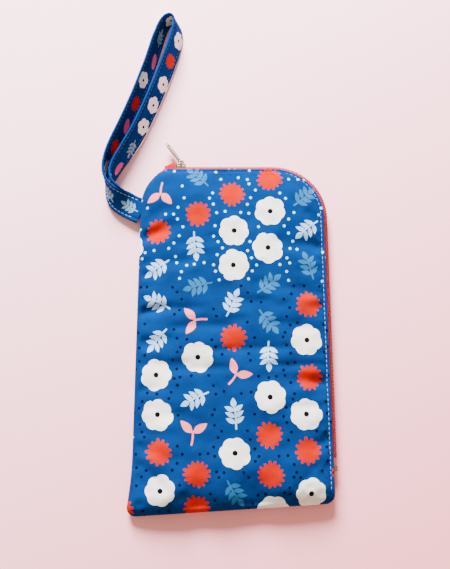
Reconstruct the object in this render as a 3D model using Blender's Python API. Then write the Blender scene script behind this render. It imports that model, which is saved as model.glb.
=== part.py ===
"""Wristlet wallet: a padded cotton pouch with an L-shaped zip and a wrist strap.

The pouch lies on its back. +X runs to the pouch's right, +Y to its top edge and +Z up.
The origin is on the flat of the back panel. Sizes below are in millimetres.
"""
import math

import bmesh
import bpy
from mathutils import Matrix, Vector

MM = 0.001
GAP = 0.3

# Pouch outline, on the line where the cotton panels end
PANEL_TOP = 98.6
PANEL_BOTTOM = -96.2
BOTTOM_RISE = 6.9
LEFT_X, LEFT_TAPER = -54.7, 0.0158
FLARE, FLARE_TOP, FLARE_LENGTH = 2.7, -62.0, 32.0
RIGHT_X, RIGHT_TAPER = 53.3, -0.0184
ZIP_CORNER_R = 29.0
BOTTOM_LEFT_R = 6.0
BOTTOM_RIGHT_R = 5.5
SHOULDER_INSET = 13.8
SHOULDER_LENGTH = 26.0
SHOULDER_CURVE = 3.2
CORNER_LIFT = 2.0

# Panel build-up, from the outside in
COTTON_T, WADDING_T, LINING_T, POCKET_T = 0.6, 1.3, 0.4, 0.4
MID_HEIGHT = 14.2
ZIP_EDGE_HEIGHT = 10.0
SEAM_TOP = 4.5
SEAM_BOTTOM = 3.0
SIDE_REACH, SHOULDER_REACH, BOTTOM_REACH = 30.0, 7.0, 12.0
ZIP_REACH = 25.0
HEEL_REACH, SHOULDER_HEEL_REACH = 6.0, 2.0
INNER_INSET = 4.0
EDGE_STEPS = (0.0, 1.5, INNER_INSET, 8.0, 14.0, 24.0)
SEAM_STEPS = 2

# Zip
ZIP_MID_Z = 5.0
TAPE_T = 0.5
TAPE_OUT = 0.35
TAPE_TUCK = -2.6
COIL_IN, COIL_OUT = 0.9, 2.6
COIL_HALF_GAP, COIL_H = 0.4, 1.8
ZIP_START_X = -35.0
ZIP_TAPE_END_Y = -88.8
SLIDER_X = -30.2
SLIDER_LENGTH = 5.8
SLIDER_HALF_H = 3.1
SLIDER_PLATE = 1.25
PULL_AXIS_RISE = 1.2
PULL_LENGTH = 14.6
PULL_WIDTH = 4.8
PULL_T = 1.0
PULL_REST_DEG = 127.0

# The mouth folds back along a line from the parked slider to the zip's lower end
FOLD_TOP = Vector((-23.65, PANEL_TOP, 0.0))
FOLD_END = Vector((48.8, -75.58, 0.0))
FOLD_GAP = 0.2

# Wrist strap
STRAP_W, STRAP_T = 14.5, 1.5
STRAP_SEAM = Vector((-55.1, 75.7, 3.7))
STRAP_STATIONS = 84


# ---------------------------------------------------------------- outline and heights
def left_x(y):
    """Panel edge on the sewn left side, with its sloping shoulder and bottom corner."""
    x = LEFT_X + LEFT_TAPER * y
    x += SHOULDER_INSET * up_shoulder(y) ** SHOULDER_CURVE
    x -= FLARE * min(max((FLARE_TOP - y) / FLARE_LENGTH, 0.0), 1.0) ** 2
    return x + corner_inset(y - PANEL_BOTTOM, BOTTOM_LEFT_R)


def up_shoulder(y):
    """0 where the sloping shoulder begins, 1 at the top edge."""
    return min(max((y - PANEL_TOP) / SHOULDER_LENGTH + 1.0, 0.0), 1.0)


def right_x(y):
    """Panel edge on the zipped right side, with its big top corner."""
    x = RIGHT_X + RIGHT_TAPER * y
    x -= corner_inset(PANEL_TOP - y, ZIP_CORNER_R)
    return x - corner_inset(y - PANEL_BOTTOM, BOTTOM_RIGHT_R)


def corner_inset(distance, radius):
    """How far a round corner cuts in, at a distance from the edge it leads to."""
    if distance >= radius:
        return 0.0
    reach = radius - max(distance, 0.0)
    return radius - math.sqrt(max(radius * radius - reach * reach, 0.0))


def fold_x(y):
    share = (FOLD_TOP.y - y) / (FOLD_TOP.y - FOLD_END.y)
    return FOLD_TOP.x + share * (FOLD_END.x - FOLD_TOP.x)


def lift_bottom(x, y):
    """The bottom edge climbs a little to the right; the effect fades out at the top."""
    across = (x - LEFT_X) / (RIGHT_X - LEFT_X)
    down = (PANEL_TOP - y) / (PANEL_TOP - PANEL_BOTTOM)
    return y + BOTTOM_RISE * across * down + corner_lift(x, y)


def corner_lift(x, y):
    """The end of the zip pulls the sewn top corner up a little."""
    aside = min(max((-34.0 - x) / 7.5, 0.0), 1.0)
    up = min(max((y - PANEL_TOP) / 20.0 + 1.0, 0.0), 1.0)
    return CORNER_LIFT * aside * aside * (3.0 - 2.0 * aside) * up * up


def zip_distance(x, y):
    """Distance to the zipped edge: the top, its round corner or the right side."""
    corner_x = RIGHT_X + RIGHT_TAPER * (PANEL_TOP - ZIP_CORNER_R) - ZIP_CORNER_R
    corner_y = PANEL_TOP - ZIP_CORNER_R
    if x > corner_x and y > corner_y:
        return max(ZIP_CORNER_R - math.hypot(x - corner_x, y - corner_y), 0.0)
    return max(min(RIGHT_X + RIGHT_TAPER * y - x, PANEL_TOP - y), 0.0)


def round_over(distance, reach):
    """0 at an edge to 1 at the reach, on a quarter circle."""
    share = min(max(distance / reach, 0.0), 1.0)
    return math.sqrt(1.0 - (1.0 - share) ** 2)


def front_top(x, y):
    """Height of the front cotton's outer face."""
    side_reach = SIDE_REACH + (SHOULDER_REACH - SIDE_REACH) * up_shoulder(y)
    crown = round_over(x - left_x(y), side_reach) * round_over(y - PANEL_BOTTOM, BOTTOM_REACH)
    zip_fall = 1.0 - round_over(zip_distance(x, y), ZIP_REACH)
    height = MID_HEIGHT - (MID_HEIGHT - ZIP_EDGE_HEIGHT) * zip_fall
    return SEAM_TOP + (height - SEAM_TOP) * crown


def back_bottom(x, y):
    """Height of the back cotton's outer face: flat, and curling up at the sewn edges."""
    reach = HEEL_REACH + (SHOULDER_HEEL_REACH - HEEL_REACH) * up_shoulder(y)
    flat = round_over(x - left_x(y), reach) * round_over(y - PANEL_BOTTOM, HEEL_REACH)
    return SEAM_BOTTOM * (1.0 - flat)


# ---------------------------------------------------------------- mesh helpers
def new_object(name, mesh_data, material, origin=None):
    mesh = bpy.data.meshes.new(name)
    mesh_data.normal_update()
    mesh_data.to_mesh(mesh)
    mesh_data.free()
    thing = bpy.data.objects.new(name, mesh)
    bpy.context.scene.collection.objects.link(thing)
    mesh.materials.append(material)
    mesh.shade_smooth()
    mesh.set_sharp_from_angle(angle=math.radians(40))
    if origin is not None:
        mesh.transform(Matrix.Translation(-origin * MM))
        thing.location = origin * MM
    return thing


def material(name, colour, roughness, metallic=0.0):
    made = bpy.data.materials.new(name)
    made.use_nodes = True
    shader = made.node_tree.nodes["Principled BSDF"]
    shader.inputs["Base Color"].default_value = (*colour, 1.0)
    shader.inputs["Roughness"].default_value = roughness
    shader.inputs["Metallic"].default_value = metallic
    return made


def spread(low, high):
    """Stations that bunch up towards both ends, where the sheets curve most."""
    scale = min(1.0, (high - low) / (2 * EDGE_STEPS[-1] + 6.0))
    steps = [step * scale for step in EDGE_STEPS]
    return [low + s for s in steps] + [high - s for s in reversed(steps)]


def panel_rows():
    """Rows below and above the lower end of the fold line."""
    below = [PANEL_BOTTOM + s for s in EDGE_STEPS[:-1]] + [FOLD_END.y - 2 * FOLD_GAP]
    top = [PANEL_TOP - s for s in reversed(EDGE_STEPS)]
    start = FOLD_END.y - FOLD_GAP
    above = [start + (top[0] - start) * k / 5 for k in range(5)] + top
    return below, above


def sheet(name, stuff, grid_xy, low_z, thickness):
    """A closed sheet of cloth over a grid of plan points, rows by columns."""
    mesh = bmesh.new()
    layers = []
    for lift in (0.0, thickness):
        layers.append([
            [mesh.verts.new(Vector((x, lift_bottom(x, y), low_z(x, y) + lift)) * MM)
             for x, y in row]
            for row in grid_xy
        ])
    under, over = layers
    last_row, last_column = len(grid_xy) - 1, len(grid_xy[0]) - 1
    for j in range(last_row):
        for i in range(last_column):
            mesh.faces.new((over[j][i], over[j][i + 1], over[j + 1][i + 1], over[j + 1][i]))
            mesh.faces.new((under[j][i], under[j + 1][i], under[j + 1][i + 1], under[j][i + 1]))
    rim = [(j, 0) for j in range(last_row, 0, -1)]
    rim += [(0, i) for i in range(last_column)]
    rim += [(j, last_column) for j in range(last_row)]
    rim += [(last_row, i) for i in range(last_column, 0, -1)]
    for here, after in zip(rim, rim[1:] + rim[:1]):
        mesh.faces.new((
            under[here[0]][here[1]], under[after[0]][after[1]],
            over[after[0]][after[1]], over[here[0]][here[1]],
        ))
    return new_object(name, mesh, stuff)


def sweep(name, stuff, sections, origin=None):
    """A closed solid through a list of matching loops of points, capped at both ends."""
    mesh = bmesh.new()
    loops = [[mesh.verts.new(point * MM) for point in loop] for loop in sections]
    count = len(loops[0])
    for here, after in zip(loops, loops[1:]):
        for k in range(count):
            m = (k + 1) % count
            mesh.faces.new((here[k], here[m], after[m], after[k]))
    mesh.faces.new(list(reversed(loops[0])))
    mesh.faces.new(loops[-1])
    bmesh.ops.recalc_face_normals(mesh, faces=mesh.faces)
    return new_object(name, mesh, stuff, origin)


def box(mesh, low, high):
    """Add a box between two corners, in millimetres, to a bmesh."""
    made = bmesh.ops.create_cube(mesh, size=1.0)["verts"]
    size = Vector(high) - Vector(low)
    middle = (Vector(high) + Vector(low)) / 2
    bmesh.ops.scale(mesh, verts=made, vec=size * MM)
    bmesh.ops.translate(mesh, verts=made, vec=middle * MM)
    return made


# ---------------------------------------------------------------- cloth layers
def grid(rows, left, right):
    """Plan points for one panel: the last column is the edge, the one before it the inset."""
    table = []
    for y in rows:
        near, far = left(y), right(y)
        inset_x = far - FOLD_GAP
        if far == right_x(y):
            inset_x = min(inner_right(y), far - EDGE_STEPS[1])
        table.append([(x, y) for x in spread(near, inset_x) + [far]])
    return table


def inner_right(y):
    """Inner layers stop short of the zip, and follow its corner at the same distance."""
    if y > PANEL_TOP - INNER_INSET:
        return right_x(y) - INNER_INSET
    x = RIGHT_X + RIGHT_TAPER * y - INNER_INSET
    return x - corner_inset(PANEL_TOP - INNER_INSET - y, ZIP_CORNER_R - INNER_INSET)


def inner(table, left_skip, top_skip, bottom_skip):
    """The part of a panel's grid that its wadding and lining cover."""
    rows = table[bottom_skip:len(table) - top_skip]
    return [row[left_skip:-1] for row in rows]


def add_back(cotton, wadding, lining):
    below, above = panel_rows()
    table = grid(below + above, left_x, right_x)
    inside = inner(table, SEAM_STEPS, SEAM_STEPS, SEAM_STEPS)
    wadding_rise = COTTON_T + GAP
    lining_rise = wadding_rise + WADDING_T + GAP
    sheet("back_panel", cotton, table, back_bottom, COTTON_T)
    sheet("back_wadding", wadding, inside, lambda x, y: back_bottom(x, y) + wadding_rise,
          WADDING_T)
    sheet("back_lining", lining, inside, lambda x, y: back_bottom(x, y) + lining_rise,
          LINING_T)

    pocket_rise = lining_rise + LINING_T + GAP
    for name, top in (("card_pocket_rear", 38.0), ("card_pocket_front", 8.0)):
        rows = [-82.0 + (top + 82.0) * k / 4 for k in range(5)]
        table = [[(-46.0 + 23.0 * i, y) for i in range(5)] for y in rows]
        rise = pocket_rise
        sheet(name, lining, table, lambda x, y: rise, POCKET_T)
        pocket_rise += POCKET_T + GAP


def fixed_right(y):
    return right_x(y) if y < FOLD_END.y - 1.5 * FOLD_GAP else fold_x(y) - FOLD_GAP


def flap_left(y):
    return fold_x(y) + FOLD_GAP


def add_front(cotton, wadding, lining):
    """The front is one piece of cloth; it is parted here along the line it folds on."""
    below, above = panel_rows()
    fixed = grid(below + above, left_x, fixed_right)
    flap = grid([FOLD_END.y + FOLD_GAP] + above[1:], flap_left, right_x)
    for table, suffix, skips in ((fixed, "", (SEAM_STEPS, SEAM_STEPS, SEAM_STEPS)),
                                 (flap, "_flap", (0, SEAM_STEPS, 0))):
        inside = inner(table, *skips)
        depth = COTTON_T
        sheet("front_panel" + suffix, cotton, table,
              lambda x, y: front_top(x, y) - COTTON_T, COTTON_T)
        for name, stuff, thickness in (("front_wadding", wadding, WADDING_T),
                                       ("front_lining", lining, LINING_T)):
            depth += GAP + thickness
            low = depth
            sheet(name + suffix, stuff, inside, lambda x, y: front_top(x, y) - low, thickness)


# ---------------------------------------------------------------- zip
def zip_line(start_x, end_y):
    """Points and outward directions along the panel edge, from the top left to the end."""
    corner_x = RIGHT_X + RIGHT_TAPER * (PANEL_TOP - ZIP_CORNER_R) - ZIP_CORNER_R
    corner_y = PANEL_TOP - ZIP_CORNER_R
    stations = []
    for i in range(8):
        x = start_x + (corner_x - start_x) * i / 8
        stations.append((Vector((x, PANEL_TOP, 0)), Vector((0, 1, 0))))
    for i in range(11):
        turn = math.radians(90 - 9 * i)
        out = Vector((math.cos(turn), math.sin(turn), 0))
        stations.append((Vector((corner_x, corner_y, 0)) + out * ZIP_CORNER_R, out))
    for i in range(1, 13):
        y = corner_y + (end_y - corner_y) * i / 12
        stations.append((Vector((RIGHT_X + RIGHT_TAPER * y, y, 0)), side_out()))
    return [(Vector((p.x, lift_bottom(p.x, p.y), 0)), out) for p, out in stations]


def zip_sections(stations, profile):
    up = Vector((0, 0, 1))
    return [[point + out * n + up * z for n, z in profile] for point, out in stations]


def tape_profile(side, top=ZIP_EDGE_HEIGHT):
    """Cross-section of one tape: tucked under the panel, then turning along the gap."""
    tuck = top - ZIP_MID_Z - COTTON_T - GAP
    end = COIL_HALF_GAP
    half = TAPE_T / 2
    centre = [(TAPE_TUCK, tuck - half), (-0.35, tuck - half), (TAPE_OUT, tuck - 0.95),
              (TAPE_OUT, end)]
    offsets = [(0, half), (0.1, half), (half, 0), (half, 0)]
    outer = [(c[0] + o[0], c[1] + o[1]) for c, o in zip(centre, offsets)]
    inner_side = [(c[0] - o[0], c[1] - o[1]) for c, o in zip(centre, offsets)]
    loop = outer + list(reversed(inner_side))
    return [(n, ZIP_MID_Z + side * z) for n, z in loop]


def coil_profile(side):
    low, high = COIL_HALF_GAP, COIL_HALF_GAP + COIL_H
    mid = (low + high) / 2
    loop = [(COIL_IN, low), (COIL_OUT - 0.4, low), (COIL_OUT, mid), (COIL_OUT - 0.4, high),
            (COIL_IN, high)]
    return [(n, ZIP_MID_Z + side * z) for n, z in loop]


def add_zip(tape, nylon, metal):
    split_y = FOLD_END.y + FOLD_GAP
    sweep("zip_tape_back", tape,
          zip_sections(zip_line(ZIP_START_X, ZIP_TAPE_END_Y), tape_profile(-1)))
    coil_back = zip_line(SLIDER_X - SLIDER_LENGTH / 2 - 0.4, split_y)
    sweep("zip_coil_back", nylon, zip_sections(coil_back, coil_profile(-1)))

    along_front = zip_line(FOLD_TOP.x + FOLD_GAP, split_y)
    sweep("zip_tape_front", tape, zip_sections(along_front, tape_profile(1)))
    sweep("zip_coil_front", nylon, zip_sections(along_front, coil_profile(1)))

    out = Vector((0, 1, 0))
    start = []
    for x in (ZIP_START_X, ZIP_START_X + 2.0, FOLD_TOP.x - FOLD_GAP):
        section = [(Vector((x, PANEL_TOP, 0)), out)]
        start += zip_sections(section, tape_profile(1, front_top(x, PANEL_TOP)))
    sweep("zip_tape_front_start", tape, start)
    end = []
    for k in range(5):
        y = split_y - 2 * FOLD_GAP + (ZIP_TAPE_END_Y - split_y) * k / 4
        x = RIGHT_X + RIGHT_TAPER * y
        point = Vector((x, lift_bottom(x, y), 0))
        end += zip_sections([(point, side_out())], tape_profile(1, front_top(right_x(y), y)))
    sweep("zip_tape_front_end", tape, end)

    stop_x = SLIDER_X - SLIDER_LENGTH / 2 - GAP
    for name, side in (("zip_top_stop_front", 1), ("zip_top_stop_back", -1)):
        shift = 0.2 if side > 0 else 0.5
        ends = [(Vector((stop_x - shift - length, PANEL_TOP, 0)), out) for length in (1.3, 0)]
        sweep(name, metal, zip_sections(ends, coil_profile(side)))

    add_bottom_stop(metal, split_y - GAP)


def side_out():
    return Vector((1, -RIGHT_TAPER, 0)).normalized()


def add_bottom_stop(metal, top_y):
    """A metal clip across both coils at the lower end of the zip."""
    ends = []
    for y in (top_y, top_y - 2.6):
        x = RIGHT_X + RIGHT_TAPER * y
        ends.append((Vector((x, lift_bottom(x, y), 0)), side_out()))
    half = COIL_HALF_GAP + COIL_H - 0.2
    loop = [(COIL_IN, -half), (COIL_OUT, -half + 0.4), (COIL_OUT, half - 0.4), (COIL_IN, half)]
    profile = [(n, ZIP_MID_Z + z) for n, z in loop]
    sweep("zip_bottom_stop", metal, zip_sections(ends, profile))


def add_slider(metal):
    """Two plates joined by a thin neck, with flanges that hold the coil in its channel."""
    half = SLIDER_LENGTH / 2
    outer_low = PANEL_TOP + COIL_OUT + 0.35
    outer_high = outer_low + SLIDER_PLATE
    inner_high = PANEL_TOP + TAPE_OUT - TAPE_T / 2 - 0.3
    inner_low = inner_high - SLIDER_PLATE
    flange_low = PANEL_TOP + TAPE_OUT + TAPE_T / 2 + 0.3
    left, right = SLIDER_X - half, SLIDER_X + half
    centre = Vector((SLIDER_X, PANEL_TOP + COIL_OUT / 2, ZIP_MID_Z))

    def block(name, low, high):
        mesh = bmesh.new()
        box(mesh, low, high)
        return new_object(name, mesh, metal, centre)

    body = block("slider_body",
                 (left, outer_low, ZIP_MID_Z - SLIDER_HALF_H),
                 (right, outer_high, ZIP_MID_Z + SLIDER_HALF_H))
    adds = [
        block("add_inner", (left, inner_low, ZIP_MID_Z - SLIDER_HALF_H + 0.2),
              (right, inner_high, ZIP_MID_Z + SLIDER_HALF_H - 0.2)),
        block("add_neck", (left + 0.3, inner_high - 0.3, ZIP_MID_Z - 0.11),
              (left + 3.0, outer_low + 0.3, ZIP_MID_Z + 0.11)),
    ]
    for side in (-1, 1):
        near = ZIP_MID_Z + side * (SLIDER_HALF_H - 0.6)
        far = ZIP_MID_Z + side * (SLIDER_HALF_H - 0.06)
        adds.append(block("add_flange", (left + 0.06, flange_low, min(near, far)),
                          (right - 0.06, outer_low + 0.3, max(near, far))))
    for added in adds:
        added.hide_render = True
        added.display_type = "WIRE"
        join = body.modifiers.new("join", "BOOLEAN")
        join.operation = "UNION"
        join.object = added
        join.solver = "EXACT"
    soften = body.modifiers.new("soften", "BEVEL")
    soften.width = 0.18 * MM
    soften.segments = 1
    soften.limit_method = "ANGLE"

    axis_y = outer_high + PULL_AXIS_RISE
    add_bail(metal, outer_high, axis_y)
    add_pull(metal, axis_y)


def add_bail(metal, plate_y, axis_y):
    """The arch that holds the pull: a half ring round the pull's pivot, with two feet."""
    inner, outer, half_z = 0.95, 1.75, 0.55
    loops = []
    foot = axis_y - plate_y - GAP
    angles = [math.radians(180 - 20 * k) for k in range(10)]
    places = [(-1.0, 0.0, -foot)] + [(math.cos(a), math.sin(a), 0.0) for a in angles]
    places += [(1.0, 0.0, -foot)]
    for along, rise, drop in places:
        near = Vector((SLIDER_X + inner * along, axis_y + inner * rise + drop, 0))
        far = Vector((SLIDER_X + outer * along, axis_y + outer * rise + drop, 0))
        low, high = ZIP_MID_Z - half_z, ZIP_MID_Z + half_z
        loops.append([Vector((near.x, near.y, low)), Vector((far.x, far.y, low)),
                      Vector((far.x, far.y, high)), Vector((near.x, near.y, high))])
    sweep("slider_bail", metal, loops)


def add_pull(metal, axis_y):
    """A flat metal tab with a slotted eye, turned to its resting angle about its pivot."""
    pivot = bpy.data.objects.new("pull_pivot", None)
    bpy.context.scene.collection.objects.link(pivot)
    pivot.location = Vector((SLIDER_X, axis_y, ZIP_MID_Z)) * MM

    half_w, half_t = PULL_WIDTH / 2, PULL_T / 2
    mesh = bmesh.new()
    tip_r = half_w
    outline = [(-0.5, -1.5), (0.4, -1.9), (3.4, -1.9), (5.0, -half_w)]
    tip_x = PULL_LENGTH - tip_r
    outline += [(tip_x + tip_r * math.sin(a), -tip_r * math.cos(a))
                for a in (math.radians(18 * k) for k in range(11))]
    outline += [(x, -z) for x, z in reversed(outline[:4])]
    loops = []
    for depth in (-half_t, half_t):
        loops.append([mesh.verts.new(Vector((x, depth, z)) * MM) for x, z in outline])
    count = len(outline)
    mesh.faces.new(loops[0])
    mesh.faces.new(list(reversed(loops[1])))
    for k in range(count):
        m = (k + 1) % count
        mesh.faces.new((loops[0][k], loops[1][k], loops[1][m], loops[0][m]))
    bmesh.ops.recalc_face_normals(mesh, faces=mesh.faces)
    tab = new_object("pull_tab", mesh, metal)
    tab.parent = pivot
    tab.rotation_euler = (0, 0, math.radians(PULL_REST_DEG))

    for name, low, high in (("eye_slot", (0.55, -2, -0.95), (2.6, 2, 0.95)),
                            ("tip_hole", (PULL_LENGTH - 3.2, -2, -0.9),
                             (PULL_LENGTH - 1.4, 2, 0.9))):
        cutter_mesh = bmesh.new()
        box(cutter_mesh, low, high)
        cutter = new_object(name, cutter_mesh, metal)
        cutter.parent = tab
        cutter.hide_render = True
        cutter.display_type = "WIRE"
        cut = tab.modifiers.new("cut", "BOOLEAN")
        cut.operation = "DIFFERENCE"
        cut.object = cutter
        cut.solver = "EXACT"


# ---------------------------------------------------------------- wrist strap
def smooth_path(points, count):
    """Evenly spaced samples of a Catmull-Rom curve through rows of numbers."""
    fine = []
    for i in range(len(points) - 1):
        before = points[max(i - 1, 0)]
        here, after = points[i], points[i + 1]
        beyond = points[min(i + 2, len(points) - 1)]
        for k in range(12):
            t = k / 12
            fine.append([
                0.5 * (2 * b + (c - a) * t + (2 * a - 5 * b + 4 * c - d) * t * t
                       + (3 * b - a - 3 * c + d) * t ** 3)
                for a, b, c, d in zip(before, here, after, beyond)
            ])
    fine.append(list(points[-1]))
    lengths = [0.0]
    for p, q in zip(fine, fine[1:]):
        lengths.append(lengths[-1] + math.dist(p[:3], q[:3]))
    samples = []
    k = 0
    for i in range(count):
        want = lengths[-1] * i / (count - 1)
        while k < len(fine) - 2 and lengths[k + 1] < want:
            k += 1
        share = (want - lengths[k]) / (lengths[k + 1] - lengths[k])
        samples.append([a + (b - a) * share for a, b in zip(fine[k], fine[k + 1])])
    return samples


def strap_route():
    """Centre of the band and its lean in degrees: 0 and 180 lie flat, 90 stands on edge."""
    top_z, low_z = STRAP_SEAM.z + 0.9, STRAP_SEAM.z - 0.9
    stand_z = STRAP_W / 2 + 0.25
    return [
        (STRAP_SEAM.x, STRAP_SEAM.y, top_z, 2),
        (-60.5, 77.9, top_z + 0.4, 12),
        (-66.6, 81.2, 6.3, 34),
        (-71.6, 86.8, stand_z, 66),
        (-74.0, 94.0, stand_z, 88),
        (-73.2, 103.0, stand_z, 100),
        (-69.6, 113.5, stand_z, 104),
        (-62.9, 128.0, stand_z, 106),
        (-55.5, 146.0, stand_z, 107),
        (-48.9, 164.5, stand_z, 108),
        (-44.3, 180.0, stand_z, 106),
        (-40.6, 189.2, stand_z, 100),
        (-36.6, 192.2, stand_z, 90),
        (-33.4, 189.3, stand_z, 78),
        (-33.4, 182.0, stand_z, 68),
        (-36.4, 170.5, stand_z, 64),
        (-41.2, 156.5, stand_z, 63),
        (-48.2, 138.5, stand_z, 63),
        (-55.6, 122.0, stand_z, 64),
        (-63.0, 109.0, stand_z, 68),
        (-67.3, 102.0, stand_z, 73),
        (-69.7, 96.0, stand_z, 82),
        (-70.3, 91.5, stand_z, 97),
        (-69.0, 87.4, 7.1, 117),
        (-65.7, 82.3, 4.8, 146),
        (-60.3, 78.3, low_z + 0.3, 168),
        (STRAP_SEAM.x, STRAP_SEAM.y, low_z, 178),
    ]


def add_strap(cotton):
    samples = smooth_path(strap_route(), STRAP_STATIONS)
    sections = []
    for i, (x, y, z, lean) in enumerate(samples):
        before = Vector(samples[max(i - 1, 0)][:3])
        after = Vector(samples[min(i + 1, len(samples) - 1)][:3])
        along = (after - before).normalized()
        if i in (0, len(samples) - 1):
            along = Vector((math.copysign(1.0, along.x), 0, 0))
        level = Vector((along.y, -along.x, 0)).normalized()
        lean_angle = math.radians(lean)
        across = level * math.cos(lean_angle) + Vector((0, 0, math.sin(lean_angle)))
        across = (across - along * across.dot(along)).normalized()
        through = along.cross(across)
        middle = Vector((x, y, z))
        wide, thick = STRAP_W / 2, STRAP_T / 2
        rim = [(-wide, 0), (-wide + 0.5, thick), (wide - 0.5, thick), (wide, 0),
               (wide - 0.5, -thick), (-wide + 0.5, -thick)]
        sections.append([middle + across * a + through * b for a, b in rim])
    sweep("wrist_strap", cotton, sections, STRAP_SEAM)


def main():
    for thing in list(bpy.data.objects):
        bpy.data.objects.remove(thing, do_unlink=True)
    cotton = material("printed_cotton", (0.03, 0.12, 0.36), 0.85)
    wadding = material("wadding", (0.85, 0.85, 0.82), 0.95)
    lining = material("lining_cotton", (0.55, 0.05, 0.04), 0.85)
    tape = material("zip_tape", (0.55, 0.04, 0.05), 0.8)
    nylon = material("zip_nylon", (0.50, 0.04, 0.05), 0.45)
    metal = material("nickel", (0.75, 0.73, 0.70), 0.25, 1.0)
    add_back(cotton, wadding, lining)
    add_front(cotton, wadding, lining)
    add_zip(tape, nylon, metal)
    add_slider(metal)
    add_strap(cotton)


main()
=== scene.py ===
"""Looks for the wristlet wallet: printed cotton, padding, zip, pull and strap round the CAD frame.

Lengths are in millimetres until a mesh is made. X runs to the zipped side, Y to the zipped top.
"""
import random
from functools import partial
from math import cos, dist, exp, hypot, pi, radians, sin, sqrt

import bmesh
import bpy
import numpy as np
from mathutils import Matrix, Vector, noise
from mathutils.geometry import delaunay_2d_cdt


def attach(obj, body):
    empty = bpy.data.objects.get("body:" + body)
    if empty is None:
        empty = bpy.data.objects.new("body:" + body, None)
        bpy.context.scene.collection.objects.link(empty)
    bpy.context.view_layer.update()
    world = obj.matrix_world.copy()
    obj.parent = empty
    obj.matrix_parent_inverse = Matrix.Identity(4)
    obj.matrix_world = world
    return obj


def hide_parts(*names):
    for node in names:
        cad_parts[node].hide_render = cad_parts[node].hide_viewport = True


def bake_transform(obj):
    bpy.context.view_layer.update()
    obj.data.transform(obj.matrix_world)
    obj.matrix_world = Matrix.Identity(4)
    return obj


MM = 0.001

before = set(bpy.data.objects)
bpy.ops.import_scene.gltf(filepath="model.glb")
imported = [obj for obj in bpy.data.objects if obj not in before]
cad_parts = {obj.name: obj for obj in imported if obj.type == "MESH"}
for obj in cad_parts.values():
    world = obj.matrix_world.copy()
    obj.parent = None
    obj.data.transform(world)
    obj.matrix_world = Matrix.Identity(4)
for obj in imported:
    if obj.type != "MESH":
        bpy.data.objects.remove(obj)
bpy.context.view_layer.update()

# Pouch outline and heights, as in the CAD
PANEL_TOP, PANEL_BOTTOM, BOTTOM_RISE = 98.6, -96.2, 6.9
LEFT_X, LEFT_TAPER = -54.7, 0.0158
FLARE, FLARE_TOP, FLARE_LENGTH = 2.7, -62.0, 32.0
RIGHT_X, RIGHT_TAPER = 53.3, -0.0184
ZIP_CORNER_R, BOTTOM_LEFT_R, BOTTOM_RIGHT_R = 29.0, 6.0, 5.5
SHOULDER_INSET, SHOULDER_LENGTH, SHOULDER_CURVE = 13.8, 26.0, 3.2
CORNER_LIFT, LIFT_X, LIFT_ACROSS, LIFT_DOWN = 2.0, -34.0, 7.5, 20.0
MID_HEIGHT, ZIP_EDGE_HEIGHT = 14.2, 10.0
SEAM_TOP, SEAM_BOTTOM = 4.5, 3.0
# How far in from an edge the front, then the back, takes to level off
SIDE_REACH, SHOULDER_REACH, BOTTOM_REACH, ZIP_REACH = 30.0, 7.0, 12.0, 25.0
HEEL_REACH, SHOULDER_HEEL_REACH = 6.0, 2.0
CORNER_Y = PANEL_TOP - ZIP_CORNER_R
CORNER_X = RIGHT_X + RIGHT_TAPER * CORNER_Y - ZIP_CORNER_R

# Zip
ZIP_MID_Z, TAPE_OUT, TAPE_HALF_T, ZIP_END_Y = 5.0, 0.35, 0.2, -88.8
TAPE_START_X, TEETH_START_X, TEETH_END_Y, STITCH_START_X = -39.8, -32.3, -70.6, -33.0
BULGE_FROM, BULGE_RISE, BULGE_TO, BULGE_FALL, BULGE_OUT = -41.2, 7.0, -33.0, 1.4, 3.1
SLIDER_X, SLIDER_LENGTH, SLIDER_HALF_H, SLIDER_PLATE = -30.2, 5.8, 3.1, 1.25
TEETH_OUT, PLATE_GAP, BAIL_RISE = 2.6, 0.35, 1.2
PLATE_Y = PANEL_TOP + TEETH_OUT + PLATE_GAP
PULL_Y = PLATE_Y + SLIDER_PLATE + BAIL_RISE
PULL_LENGTH, PULL_WIDTH, PULL_T, PULL_REST_DEG, PULL_ROLL = 14.6, 4.8, 1.0, 127.0, 28.0
TOOTH_PITCH = 1.25

# The line on which the mouth folds
FOLD_TOP = Vector((-23.65, PANEL_TOP, 0.0))
TOPSTITCH, STITCH_GROOVE = 1.8, 0.75

# Strap
STRAP_W, STRAP_T = 14.5, 1.5
# Half the band's flat width, a quarter of its edge's round, and the whole way round it
STRAP_FLAT = STRAP_W / 2 - STRAP_T / 2
STRAP_QUARTER = pi * STRAP_T / 4
STRAP_ROUND = 4 * STRAP_FLAT + pi * STRAP_T
STRAP_SEAM = Vector((-55.1, 75.7, 3.7))
STRAP_STATIONS, STRAP_STITCH = 270, 5.3

# Light and camera
KEY_POWER, WORLD_POWER, WINDOW_SIZE = 106.0, 0.98, 0.50
WINDOW_AT = Vector((-0.20, 1.0, 0.62))
CAMERA_AT = (-0.004488, -0.022806, 0.393980)
CAMERA_LENS, CAMERA_TILT = 43.466, 8.0
FLOOR_HALF, FLOOR_Z = 1500, -0.05

# Colours, linear


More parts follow.
